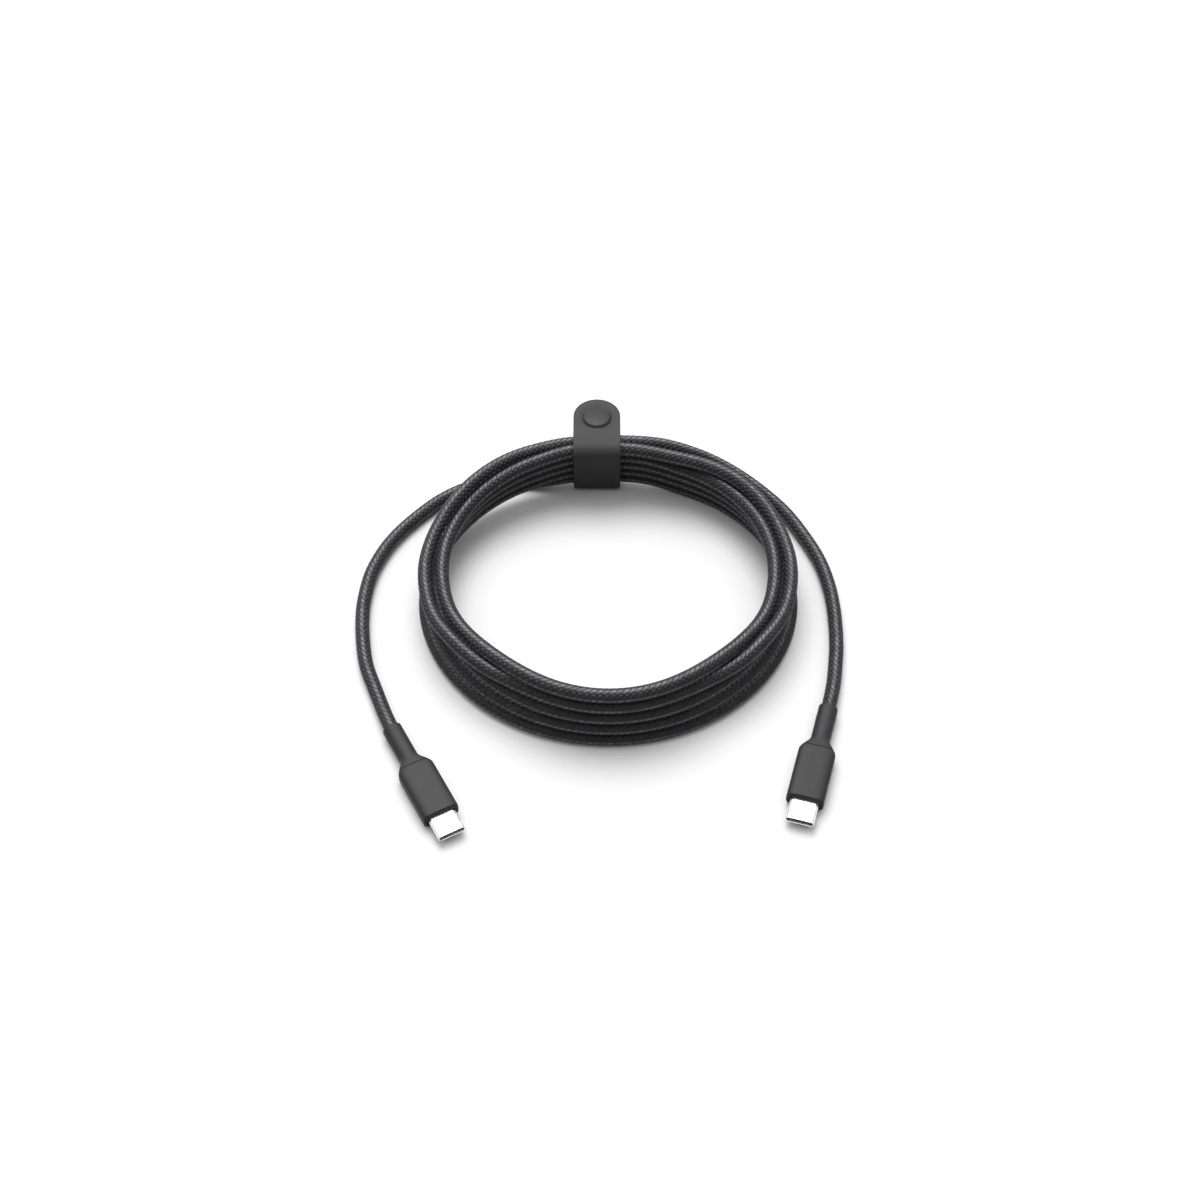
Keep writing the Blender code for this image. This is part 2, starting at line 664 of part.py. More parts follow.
def make_press_stud(parent, hinge, hinge_height):
    """Four pieces: cap and socket on the free end, stud and rivet on the lower end."""
    top = TAB_Z + STRAP_THICK / 2 + SNAP_GAP
    post_end = 21.75
    cap_profile = [(0.0, top + 0.75), (2.2, top + 0.72), (3.8, top + 0.52), (CAP_RADIUS, top + 0.15),
                   (CAP_RADIUS, top), (POST_RADIUS, top), (POST_RADIUS, post_end), (0.0, post_end)]
    cap = turned("snap_cap", cap_profile, SNAP_BLACK, hinge)
    under = TAB_Z - STRAP_THICK / 2 - FIT
    bore = POST_RADIUS + 0.15
    lip = KNOB_RADIUS + 0.55
    socket_profile = [(bore, under), (3.6, under), (SOCKET_RADIUS, under - 0.25), (SOCKET_RADIUS, 20.75),
                      (3.4, 20.55), (lip + 0.15, 20.55), (lip, 20.8), (lip, 21.5), (bore, 21.6)]
    socket = turned("snap_socket", socket_profile, SNAP_BLACK, hinge, ring=True)
    for piece in (cap, socket):
        piece.location = Vector((STRAP_X, SNAP_Y - HINGE_Y, -hinge_height)) * MM

    base = LOWER_LEAF_Z + STRAP_THICK / 2 + SNAP_GAP
    shank = 0.7
    eye = shank + 0.15
    stud_profile = [(eye, 21.2), (1.15, 21.2), (KNOB_RADIUS, 20.95), (1.25, base + 0.4),
                    (STUD_RADIUS, base + 0.35), (STUD_RADIUS, base), (eye, base)]
    stud = turned("snap_stud", stud_profile, SNAP_BLACK, parent, ring=True)
    below = LOWER_LEAF_Z - STRAP_THICK / 2 - SNAP_GAP
    rivet_profile = [(0.0, 21.0), (shank, 21.0), (shank, below), (RIVET_RADIUS, below),
                     (RIVET_RADIUS, below - 0.35), (1.4, below - 0.55), (0.0, below - 0.6)]
    rivet = turned("snap_rivet", rivet_profile, SNAP_BLACK, parent)
    for piece in (stud, rivet):
        piece.location = Vector((STRAP_X, SNAP_Y, 0.0)) * MM


# Assembly --------------------------------------------------------------------------
assembly = anchor("assembly", (*ORIGIN_SHIFT, 0.0))
make_coil(assembly)
make_tails(assembly)
for plug_name, (plug_x, plug_y), plug_heading in PLUGS:
    plug_axis = anchor(f"{plug_name}_plug_axis", (plug_x, plug_y, PLUG_AXIS_Z), plug_heading, assembly)
    make_strain_relief(plug_name, plug_axis)
    make_housing(plug_name, plug_axis)
    make_shell(plug_name, plug_axis)
    make_contacts(plug_name, plug_axis)
    make_inner_frame(plug_name, plug_axis)
    make_shields(plug_name, plug_axis)
    make_cable_end(plug_name, plug_axis)
strap_top = strap_point(90)[1] + STRAP_THICK / 2
flap_hinge = anchor("flap_hinge", (0.0, HINGE_Y, strap_top), parent=assembly)
make_strap(assembly, flap_hinge, strap_top)
make_press_stud(assembly, flap_hinge, strap_top)
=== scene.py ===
# The looks of a coiled charging cable: one braided cord wound into a ring, two moulded
# plugs with metal mouths, and a strap with a press stud. Metres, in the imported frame.
from math import cos, floor, pi, radians, sin

import bmesh
import bpy
import numpy as np
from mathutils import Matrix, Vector


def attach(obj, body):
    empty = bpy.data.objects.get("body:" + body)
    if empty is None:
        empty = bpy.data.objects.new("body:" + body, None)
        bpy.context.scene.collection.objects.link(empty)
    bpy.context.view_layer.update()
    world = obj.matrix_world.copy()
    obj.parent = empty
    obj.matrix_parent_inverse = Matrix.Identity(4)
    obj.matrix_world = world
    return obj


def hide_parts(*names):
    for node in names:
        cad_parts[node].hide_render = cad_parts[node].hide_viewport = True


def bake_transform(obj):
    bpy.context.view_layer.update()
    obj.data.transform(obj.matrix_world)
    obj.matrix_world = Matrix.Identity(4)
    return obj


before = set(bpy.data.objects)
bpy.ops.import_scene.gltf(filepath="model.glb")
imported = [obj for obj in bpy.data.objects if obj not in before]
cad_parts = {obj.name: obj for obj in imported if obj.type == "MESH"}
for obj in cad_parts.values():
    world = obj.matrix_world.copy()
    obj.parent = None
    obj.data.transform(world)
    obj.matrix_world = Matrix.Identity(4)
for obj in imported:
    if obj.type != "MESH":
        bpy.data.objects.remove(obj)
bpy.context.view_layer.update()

MM = 0.001
SHIFT = np.array((0.000114, -0.001119, 0.0))  # from the design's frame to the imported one

# Cord ------------------------------------------------------------------------------
CORD = 0.0044                # diameter over the braid
CORD_SIDES = 32
RINGS_PER_PITCH = 5
INTO_RELIEF = 0.0009         # how far the cord goes into the strain reliefs
LEAD_OUT = 0.0003            # how far it runs straight on behind them
BRAID_STRANDS = 8            # strands that wind each way around the cord
BRAID_PITCH = 0.00185        # between two crossings along the cord
BRAID_RELIEF = 0.00014       # how deep the grooves between the strands are
STRAND_ROUND = 3.9           # how fast a strand falls away towards its edges
STRAND_DIVE = 2.2            # and towards the crossings where it goes under
DASH_SLANT = -0.8            # how far a grey dash runs along the cord for each strand around it

# The ring. Its angles start at the back and go clockwise, seen from above.
RING_CENTRE = (0.0030, 0.0116)
RING_RADIUS = 0.0539
RING_WIDE = 0.0024           # wider from side to side, and narrower from front to back
RING_SQUARE = 0.00045        # how much it departs from an oval
LEAN_DEGREES = (18.6, 7.1, 3.5)  # of the stack: mean, more at the sides, less at the front
STRAP_LIFT = 0.0015          # how far the strap's lower side lifts the stack
LIFTED = (0.18, 0.35)        # half the angle that is lifted, and the angle it comes down over
CLIMB_START = radians(-78)   # each turn climbs on top of the one before between these angles
CLIMB_END = radians(-20)
COIL_START = radians(-8)
COIL_END = 10 * pi + radians(4)
LAST_TURN = 8 * pi + CLIMB_END
LAST_TURN_PRESS = 0.0001     # how far the last turn presses into its neighbour
LAST_TURN_PARTS = (0.0006, 0.0009)  # and how far it stands off on the right and on the left
COIL_POINTS = 72             # points of the cord's route in each turn

# The tails, from the ring to the plugs.
LEFT_ROUTE = ((-0.0095, 0.0621, 0.0035), (-0.0180, 0.0614, 0.0026), (-0.0280, 0.0612, 0.0022),
              (-0.0360, 0.0602, 0.0022), (-0.0442, 0.0573, 0.0022), (-0.0515, 0.0523, 0.0022),
              (-0.0580, 0.0456, 0.0022), (-0.0638, 0.0382, 0.0022), (-0.0679, 0.0308, 0.0022),
              (-0.0709, 0.0222, 0.0022), (-0.0722, 0.0133, 0.0022), (-0.0724, 0.0054, 0.0022),
              (-0.0715, -0.0043, 0.0022), (-0.0697, -0.0138, 0.0022), (-0.0664, -0.0227, 0.0022),
              (-0.0629, -0.0316, 0.00245))
RIGHT_ROUTE = ((0.0140, 0.0624, 0.0190), (0.0210, 0.0623, 0.0179), (0.0286, 0.0617, 0.0156),
               (0.0364, 0.0608, 0.0122), (0.0445, 0.0585, 0.0083), (0.0523, 0.0541, 0.0050),
               (0.0596, 0.0472, 0.0028), (0.0650, 0.0379, 0.0022), (0.0692, 0.0277, 0.0022),
               (0.07145, 0.0177, 0.0022), (0.07235, 0.0074, 0.0022), (0.07215, -0.0043, 0.0022),
               (0.07135, -0.0119, 0.0022), (0.0699, -0.0212, 0.00245))

# Plugs, in millimetres along their axis from the cable end -------------------------
PLUG_AXIS_Z = 0.00295
PLUGS = {"left": ((-0.0602, -0.0377), radians(-61.5)),  # place of the cable end, and heading
         "right": ((0.0676, -0.0304), radians(-106.0))}
NECK_LENGTH = 12.3
SHOULDER_START = 0.6         # before the neck's end
SHOULDER_END = 17.2
PARTING = 15.6
PARTING_GAP = 0.04           # on each side of the parting line
HOUSING_END = 33.8
TIP_END = 40.6
NECK_HALF = (2.85, 2.7)
BODY_HALF = (5.4, 2.95)
NECK_POWER = 2.3             # of the superellipse: nearly round
BODY_POWER = 4.2             # and with flat sides
CABLE_ROUND = 0.3            # rounding of the mouldings' edges
PARTING_ROUND = 0.16
MOUTH_ROUND = 0.45
POCKET_START = 16.6          # the housing's hollow
POCKET_WALLS = (0.9, 0.65)
POCKET_POWER = 8.0
SLOT_DEPTH = 2.0             # of the slot that holds the metal mouth
SLOT_CLEAR = 0.1
SHELL_HALF = (4.125, 1.2)
SHELL_WALL = 0.3
SHELL_BACK = 31.0
JACKET_HOLE = 1.75
CORD_SOCKET = (2.32, 1.2)    # radius and depth of the recess that takes the cord
SOCKET_EDGE = (0.12, 0.08)   # depth and width of its chamfer
PLUG_CORNERS = 96            # points around each section of a plug

# Strap and press stud, in millimetres in the design's frame ------------------------
STRAP_X = -0.55
STRAP_WIDTH = 15.0
STRAP_THICK = 1.2
STRAP_CLEAR = 0.3
STRAP_EDGE = 0.32            # rounding of the strap's edges
STRAP_COLUMNS = 40
STRAP_SPACING = 0.35         # between two rows of points along the strap
SNAP_Y = 69.4
TAB_ROUND_Y = 70.1           # where the round ends begin
TAB_FLAT_Y = 67.5
SLOPE_LENGTH = 3.3           # from the flap's level down to the top of the turns
SLOPE_STEPS = 8
HINGE_Y = 61.5
HINGE_FLAT = 0.8
LEAF_BEND = 1.6              # radius of the bend into the lower end
LEAF_DROP = 4.0              # length of the straight stretch before it
STRAP_CUT_Y = 56.0           # the band and the lower end meet here, under the turns
LOWER_LEAF_Z = 19.4
TAB_Z = 22.9
SEAT = (0.34, 0.35, 0.42)    # the pressed groove around the cap: depth, distance, width
CAP_RADIUS = 4.7
SNAP_STEPS = 72

# Camera and light ------------------------------------------------------------------
CAMERA = Vector((0.000564, -0.339819, 0.4344))
LOOK_AT = Vector((0.000564, 0.011981, 0.0))
LENS = 54.0
SKY_TOWARDS = (-0.08, 0.47, 0.88)  # where the sky is brightest: above and behind the object
SKY_REACH = (0.2, 0.95)      # how well a direction agrees with that, at its dimmest and brightest
SKY_STRENGTH = (0.38, 2.9)
SOFTBOX = Vector((-0.10, 0.42, 1.05))
SOFTBOX_SIZE = 0.75
SOFTBOX_POWER = 16.0
FLOOR_SIZE = 6.0
FLOOR_Z = -0.00005
PAPER_GREY = 0.40


# Camera, floor and light -----------------------------------------------------------
def make_camera():
    camera = bpy.data.objects.new("camera", bpy.data.cameras.new("camera"))
    camera.data.lens = LENS
    camera.data.sensor_width = 36.0
    camera.data.clip_start = 0.01
    camera.location = CAMERA
    camera.rotation_euler = (LOOK_AT - CAMERA).to_track_quat("-Z", "Y").to_euler()
    bpy.context.scene.collection.objects.link(camera)
    bpy.context.scene.camera = camera


def make_sky():
    world = bpy.data.worlds.new("studio")
    world.use_nodes = True
    sky = world.node_tree
    background = sky.nodes["Background"]
    background.inputs["Color"].default_value = (1.0, 1.0, 1.0, 1.0)
    direction = add(sky, "ShaderNodeTexCoord", {}).outputs["Generated"]
    towards = add(sky, "ShaderNodeVectorMath", {0: direction, 1: SKY_TOWARDS},
                  operation="DOT_PRODUCT")
    values = dict(enumerate((towards.outputs["Value"], *SKY_REACH, *SKY_STRENGTH)))
    glow = add(sky, "ShaderNodeMapRange", values, interpolation_type="SMOOTHSTEP")
    sky.links.new(glow.outputs[0], background.inputs["Strength"])
    bpy.context.scene.world = world


def make_softbox():
    light = bpy.data.objects.new("softbox", bpy.data.lights.new("softbox", "AREA"))
    light.data.shape = "DISK"
    light.data.size = SOFTBOX_SIZE
    light.data.energy = SOFTBOX_POWER
    light.location = SOFTBOX
    light.rotation_euler = (-SOFTBOX).to_track_quat("-Z", "Y").to_euler()
    bpy.context.scene.collection.objects.link(light)


def make_floor():
    bpy.ops.mesh.primitive_plane_add(size=FLOOR_SIZE, location=(0.0, 0.0, FLOOR_Z))
    floor_plane = bpy.context.object
    floor_plane.name = "floor"
    paper, _, shader = new_material("paper", specular=0.1)
    shader.inputs["Base Color"].default_value = (PAPER_GREY, PAPER_GREY, PAPER_GREY, 1.0)
    shader.inputs["Roughness"].default_value = 0.9
    floor_plane.data.materials.append(paper)


# Material helpers ------------------------------------------------------------------
def new_material(name, metallic=0.0, specular=0.5):
    """A material, its node tree and its Principled shader."""
    made = bpy.data.materials.new(name)
    made.use_nodes = True
    shader = made.node_tree.nodes["Principled BSDF"]
    shader.inputs["Metallic"].default_value = metallic
    shader.inputs["Specular IOR Level"].default_value = specular
    return made, made.node_tree, shader


def add(tree, kind, inputs, **settings):
    """A new node. Each input is a value or another node's output socket."""
    made = tree.nodes.new(kind)
    for key, value in settings.items():
        setattr(made, key, value)
    for key, value in inputs.items():
        if isinstance(value, bpy.types.NodeSocket):
            tree.links.new(value, made.inputs[key])
        else:
            made.inputs[key].default_value = value
    return made


def maths(tree, operation, *values):
    return add(tree, "ShaderNodeMath", dict(enumerate(values)), operation=operation).outputs[0]


def ramp(tree, factor, low, high):
    """A colour between two others."""
    mix = add(tree, "ShaderNodeMix", {0: factor, 6: (*low, 1.0), 7: (*high, 1.0)},
              data_type="RGBA")
    return mix.outputs[2]


def remap(tree, value, low, high, to_low, to_high):
    """A value moved from one range to another, and kept inside it."""
    values = dict(enumerate((value, low, high, to_low, to_high)))
    return add(tree, "ShaderNodeMapRange", values).outputs[0]


def noise(tree, size, detail=3.0, streak=(1.0, 1.0, 1.0)):
    """Noise in the object's own coordinates, with grains about `size` metres wide."""
    coordinates = add(tree, "ShaderNodeTexCoord", {})
    place = add(tree, "ShaderNodeMapping",
                {"Vector": coordinates.outputs["Object"], "Scale": streak})
    grains = add(tree, "ShaderNodeTexNoise",
                 {"Vector": place.outputs[0], "Scale": 1.0 / size, "Detail": detail})
    return grains.outputs[0]


def paint(tree, shader, factor, low, high):
    tree.links.new(ramp(tree, factor, low, high), shader.inputs["Base Color"])


def roughen(tree, shader, grain, spread, roughness):
    """Roughness that follows a grain: its spread is laid on the range of roughness."""
    tree.links.new(remap(tree, grain, *spread, *roughness), shader.inputs["Roughness"])


def bump(tree, shader, height, depth, strength=1.0):
    made = add(tree, "ShaderNodeBump", {"Height": height, "Distance": depth, "Strength": strength})
    tree.links.new(made.outputs[0], shader.inputs["Normal"])


# Materials -------------------------------------------------------------------------
NOISE_SPREAD = (0.3, 0.7)    # where most of a noise texture's values lie


def from_middle(tree, value):
    """Distance from the middle of a cell, 0 to a half."""
    offset = maths(tree, "SUBTRACT", maths(tree, "FRACT", value), 0.5)
    return maths(tree, "ABSOLUTE", offset)


def fallen(tree, distance, rate):
    """1 at the middle, and less by the square of the distance from it."""
    fall = maths(tree, "MULTIPLY", maths(tree, "POWER", distance, 2.0), rate)
    return maths(tree, "SUBTRACT", 1.0, fall)


def grey_dashes(tree, around, along_cord):
    """1 on the dashes: every second row of crossings carries a line of them."""
    row = maths(tree, "FRACT", maths(tree, "MULTIPLY", maths(tree, "ADD", around, 0.5), 0.5))
    off_line = maths(tree, "MULTIPLY", maths(tree, "SUBTRACT", row, 0.5), 2.0)
    slanted = maths(tree, "ADD", along_cord, maths(tree, "MULTIPLY", off_line, DASH_SLANT))
    off_dash = from_middle(tree, maths(tree, "ADD", slanted, 0.5))
    in_line = remap(tree, maths(tree, "ABSOLUTE", off_line), 0.20, 0.38, 1.0, 0.0)
    in_dash = remap(tree, off_dash, 0.28, 0.44, 1.0, 0.12)
    return maths(tree, "MULTIPLY", in_line, in_dash)


def braid_material():
    """Two sets of black strands crossing over and under, with lines of slanted grey dashes."""
    made, tree, shader = new_material("braid", specular=0.22)
    shader.inputs["Roughness"].default_value = 0.45
    where = add(tree, "ShaderNodeUVMap", {}, uv_map="braid")
    split = add(tree, "ShaderNodeSeparateXYZ", {0: where.outputs[0]})
    around, along_cord = split.outputs[0], split.outputs[1]
    a = maths(tree, "ADD", around, along_cord)
    b = maths(tree, "SUBTRACT", around, along_cord)
    cell_a = maths(tree, "FLOOR", a)
    cell_b = maths(tree, "FLOOR", b)
    half_sum = maths(tree, "MULTIPLY", maths(tree, "ADD", cell_a, cell_b), 0.5)
    other_way = maths(tree, "MULTIPLY", maths(tree, "FRACT", half_sum), 2.0)
    middle_a = from_middle(tree, a)
    middle_b = from_middle(tree, b)
    across = add(tree, "ShaderNodeMix", {0: other_way, 2: middle_a, 3: middle_b}).outputs[0]
    along = add(tree, "ShaderNodeMix", {0: other_way, 2: middle_b, 3: middle_a}).outputs[0]
    round_over = maths(tree, "SQRT", fallen(tree, across, STRAND_ROUND))
    height = maths(tree, "MULTIPLY", round_over, fallen(tree, along, STRAND_DIVE))
    threads = maths(tree, "SINE", maths(tree, "MULTIPLY", across, 38.0))
    relief = maths(tree, "ADD", height, maths(tree, "MULTIPLY", threads, 0.06))
    bump(tree, shader, relief, 0.00022)

    cell = add(tree, "ShaderNodeCombineXYZ", {0: cell_a, 1: cell_b}).outputs[0]
    chance = add(tree, "ShaderNodeTexWhiteNoise", {"Vector": cell}, noise_dimensions="2D")
    grey = ramp(tree, chance.outputs[0], (0.050, 0.050, 0.054), (0.092, 0.092, 0.098))
    black = ramp(tree, chance.outputs[0], (0.004, 0.004, 0.005), (0.011, 0.011, 0.013))
    # Painted shade: the black strands are darkened where the relief is low, in the grooves between
    # strands and where they dive under at the crossings.
    shade = remap(tree, height, 0.05, 0.75, 0.25, 1.0)
    black_in_painted_shade = add(tree, "ShaderNodeVectorMath", {0: black, "Scale": shade}, operation="SCALE")
    colour = add(tree, "ShaderNodeMix",
                 {0: grey_dashes(tree, around, along_cord), 6: black_in_painted_shade.outputs[0], 7: grey},
                 data_type="RGBA")
    tree.links.new(colour.outputs[2], shader.inputs["Base Color"])
    return made


def overmould_material():
    """Fine matt elastomer with a spark-eroded grain."""
    made, tree, shader = new_material("overmould", specular=0.17)
    grain = noise(tree, 0.00018, 2.0)
    cloud = noise(tree, 0.006, 3.0)
    paint(tree, shader, cloud, (0.009, 0.009, 0.010), (0.013, 0.013, 0.014))
    roughen(tree, shader, grain, NOISE_SPREAD, (0.44, 0.58))
    bump(tree, shader, grain, 0.00002)
    return made


def strap_material():
    """Synthetic leather with a fine pebbled grain."""
    made, tree, shader = new_material("strap", specular=0.1)
    coordinates = add(tree, "ShaderNodeTexCoord", {})
    pebbles = add(tree, "ShaderNodeTexVoronoi",
                  {"Vector": coordinates.outputs["Object"], "Scale": 2600.0},
                  feature="SMOOTH_F1").outputs[0]
    cloud = noise(tree, 0.005, 4.0)
    paint(tree, shader, cloud, (0.021, 0.021, 0.022), (0.030, 0.030, 0.031))
    roughen(tree, shader, pebbles, (0.0, 0.6), (0.5, 0.66))
    bump(tree, shader, pebbles, 0.00003, 0.6)
    return made


def grained_material(name, grain, colours, roughness, depth, streak=(1.0, 1.0, 1.0), **looks):
    """A finish whose colour, roughness and relief follow one grain of (size, detail)."""
    made, tree, shader = new_material(name, **looks)
    grains = noise(tree, *grain, streak)
    paint(tree, shader, grains, *colours)
    roughen(tree, shader, grains, NOISE_SPREAD, roughness)
    bump(tree, shader, grains, depth)
    return made


def snap_material():
    """Black enamel on metal, a little lighter in fine specks."""
    colours = ((0.008, 0.008, 0.009), (0.013, 0.013, 0.014))
    return grained_material("snap", (0.0004, 4.0), colours, (0.34, 0.46), 0.000008, specular=0.14)


def plated_material(name, low, high, roughness, streak=(1.0, 1.0, 1.0)):
    """Plated metal with faint drawing marks."""
    return grained_material(name, (0.0005, 5.0), (low, high),
                            (roughness - 0.05, roughness + 0.07), 0.000003, streak, metallic=1.0)


def plastic_material(name, low, high, roughness):
    """Moulded or drawn plastic with a slight mottle."""
    return grained_material(name, (0.0006, 3.0), (low, high),
                            (roughness - 0.06, roughness + 0.06), 0.00001)


# Mesh helpers ----------------------------------------------------------------------
def smooth_step(t):
    """Goes smoothly from 0 to 1 as t does."""
    t = min(1.0, max(0.0, t))
    return t * t * (3.0 - 2.0 * t)


def skin(name, rings, finish, closed=False, sharp=35.0, merge=0.0):
    """A piece from closed rings of points, joined in order, and last to first if closed."""
    count, sides = rings.shape[:2]
    rows = np.arange(count if closed else count - 1)
    row, side = np.meshgrid(rows, np.arange(sides), indexing="ij")
    next_row = (row + 1) % count
    next_side = (side + 1) % sides
    quads = np.stack((row * sides + side, row * sides + next_side,
                      next_row * sides + next_side, next_row * sides + side), axis=-1)
    faces = quads.reshape(-1, 4).tolist()
    if not closed and not merge:
        faces.append(list(range(sides))[::-1])
        faces.append(list(range((count - 1) * sides, count * sides)))
    data = bpy.data.meshes.new(name)
    data.from_pydata(rings.reshape(-1, 3).tolist(), [], faces)
    form = bmesh.new()
    form.from_mesh(data)
    if merge:
        bmesh.ops.remove_doubles(form, verts=form.verts, dist=merge)
        open_edges = [edge for edge in form.edges if edge.is_boundary]
        if open_edges:
            bmesh.ops.holes_fill(form, edges=open_edges)
    bmesh.ops.recalc_face_normals(form, faces=form.faces)
    form.to_mesh(data)
    form.free()
    data.shade_smooth()
    data.set_sharp_from_angle(angle=radians(sharp))
    data.materials.append(finish)
    piece = bpy.data.objects.new(name, data)
    bpy.context.scene.collection.objects.link(piece)
    return piece


# The cord's route ------------------------------------------------------------------
def ring_radius(a):
    return RING_RADIUS - RING_WIDE * cos(2 * a) - RING_SQUARE * cos(3 * a)


def lean(a):
    mean, sides, front = LEAN_DEGREES
    return radians(mean - sides * cos(2 * a) + front * cos(3 * a))


def rise(a, start, end):
    """Goes from 0 to 1 between two angles in degrees."""
    return smooth_step((a - radians(start)) / radians(end - start))


def near_front(a, start, reach):
    """Goes from 0 to 1 towards the ring's front."""
    return smooth_step((-cos(a) - start) / reach)


def lift(a):
    wrapped = (a + pi) % (2 * pi) - pi
    return STRAP_LIFT * (1.0 - smooth_step((abs(wrapped) - LIFTED[0]) / LIFTED[1]))


def level(a):
    """How many turns lie below the cord. The fourth rises one more towards the front."""
    turn = floor((a - CLIMB_START) / (2 * pi))
    climbed = smooth_step((a - CLIMB_START - turn * 2 * pi) / (CLIMB_END - CLIMB_START))
    height = turn - 1 + climbed
    if 6 * pi < a < 8 * pi:
        height += near_front(a, 0.2, 0.7)
    return height


def stack_place(a, height):
    """Radius and height of the cord's middle at a level of the leaning stack."""
    return (ring_radius(a) - height * CORD * sin(lean(a)),
            CORD / 2 + lift(a) + height * CORD * cos(lean(a)))


def roll(a):
    """Direction from the fourth turn to the last one: 0 is outwards, a quarter turn is up."""
    past = a - 8 * pi
    direction = (pi / 2 + lean(a)) * (1.0 - rise(past, 12, 80))
    direction -= radians(80) * near_front(a, 0.42, 0.55)
    direction += radians(28) * rise(past, 275, 303)
    direction -= radians(43) * rise(past, 312, 354)
    return direction


def last_turn_step(a):
    """Distance from the fourth turn to the last one: they part a little at both sides."""
    past = a - 8 * pi
    right = rise(past, 68, 88) - rise(past, 100, 125)
    left = rise(past, 230, 255) - rise(past, 271, 293)
    press = LAST_TURN_PRESS * smooth_step((a - LAST_TURN) / radians(20))
    return CORD - press + LAST_TURN_PARTS[0] * right + LAST_TURN_PARTS[1] * left


def coil_place(a):
    """Radius and height of the cord's middle after winding through an angle."""
    if a <= LAST_TURN:
        return stack_place(a, level(a))
    radius, height = stack_place(a, level(a - 2 * pi))
    step = last_turn_step(a)
    return radius + step * cos(roll(a)), height + step * sin(roll(a))


def on_ring(a, radius, height):
    return RING_CENTRE[0] + radius * sin(a), RING_CENTRE[1] + radius * cos(a), height


def plug_point(side, along):
    """A point on a plug's centre line, in the design's frame."""
    (x, y), heading = PLUGS[side]
    return x + along * cos(heading), y + along * sin(heading), PLUG_AXIS_Z


def smooth_path(knots, spacing):
    """Points at an even spacing along a smooth curve through the knots."""
    knots = np.array(knots)
    knots = np.vstack((2 * knots[0] - knots[1], knots, 2 * knots[-1] - knots[-2]))
    t = np.linspace(0.0, 1.0, 16, endpoint=False)[None, :, None]
    a, b, c, d = (knots[i:len(knots) - 3 + i, None, :] for i in range(4))
    dense = 0.5 * (2 * b + (c - a) * t + (2 * a - 5 * b + 4 * c - d) * t ** 2
                   + (3 * b - a - 3 * c + d) * t ** 3)
    dense = np.vstack((dense.reshape(-1, knots.shape[1]), knots[-2]))
    gone = np.concatenate(((0.0,), np.cumsum(np.linalg.norm(np.diff(dense, axis=0), axis=1))))
    count = int(round(gone[-1] / spacing)) + 1
    wanted = np.linspace(0.0, gone[-1], count)
    return np.stack([np.interp(wanted, gone, column) for column in dense.T], axis=1)


def cord_path():
    turning = COIL_END - COIL_START
    count = int(round(turning / (2 * pi) * COIL_POINTS))
    coil = []
    for i in range(count + 1):
        a = COIL_START + turning * i / count
        coil.append(on_ring(a, *coil_place(a)))
    knots = [plug_point("left", INTO_RELIEF), plug_point("left", -LEAD_OUT),
             *reversed(LEFT_ROUTE), *coil, *RIGHT_ROUTE,
             plug_point("right", -LEAD_OUT), plug_point("right", INTO_RELIEF)]
    return smooth_path(knots, BRAID_PITCH / RINGS_PER_PITCH) + SHIFT


def braid_rings(path):
    """Rings of points around the path, their radius following the strands."""
    tangent = np.gradient(path, axis=0)
    tangent /= np.linalg.norm(tangent, axis=1)[:, None]
    side = np.cross(tangent, (0.0, 0.0, 1.0))
    side /= np.linalg.norm(side, axis=1)[:, None]
    up = np.cross(side, tangent)

    turn = np.arange(CORD_SIDES) / CORD_SIDES
    around = (turn * BRAID_STRANDS + 0.5)[None, :]
    along = (np.arange(len(path)) / RINGS_PER_PITCH)[:, None]
    a = around + along
    b = around - along
    from_a = np.abs(a % 1.0 - 0.5)
    from_b = np.abs(b % 1.0 - 0.5)
    other_way = (np.floor(a + 1e-6) + np.floor(b + 1e-6)) % 2 == 1
    across = np.where(other_way, from_b, from_a)
    length = np.where(other_way, from_a, from_b)
    height = np.sqrt(1.0 - STRAND_ROUND * across ** 2) * (1.0 - STRAND_DIVE * length ** 2)
    radius = (CORD / 2 - BRAID_RELIEF * (1.0 - height))[:, :, None]
    angle = 2 * pi * turn[None, :, None]
    outward = side[:, None, :] * np.cos(angle) + up[:, None, :] * np.sin(angle)
    return path[:, None, :] + radius * outward


def add_braid_uv(cord):
    """Strands around the cord and crossings along it, with no jump at the seam."""
    corners = np.empty(len(cord.data.loops), dtype=np.int32)
    cord.data.loops.foreach_get("vertex_index", corners)
    around = (corners % CORD_SIDES).astype(float)
    along = (corners // CORD_SIDES).astype(float)
    quads = around[:-2 * CORD_SIDES].reshape(-1, 4)  # all but the two faces that close the ends
    at_seam = quads.max(axis=1) - quads.min(axis=1) > CORD_SIDES / 2
    quads[at_seam[:, None] & (quads < CORD_SIDES / 2)] += CORD_SIDES
    places = np.stack((around / CORD_SIDES * BRAID_STRANDS + 0.5, along / RINGS_PER_PITCH), axis=1)
    layer = cord.data.uv_layers.new(name="braid")
    layer.data.foreach_set("uv", places.astype(np.float32).reshape(-1))


def make_cord(finish):
    path = cord_path()
    cord = skin("braided_cord", braid_rings(path), finish, sharp=180.0)
    add_braid_uv(cord)
    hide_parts("left_tail", "coil", "right_tail")
    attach(cord, "root")
    return cord, path


# Plugs -----------------------------------------------------------------------------
CORNER_ANGLES = 2 * pi * (np.arange(PLUG_CORNERS) + 0.5) / PLUG_CORNERS


def superellipse(half_width, half_height, power):
    c = np.cos(CORNER_ANGLES)
    s = np.sin(CORNER_ANGLES)
    size = (np.abs(c) ** power + np.abs(s) ** power) ** (-1.0 / power)
    return np.stack((half_width * size * c, half_height * size * s), axis=1)


def round_hole(radius):
    return superellipse(radius, radius, 2.0)


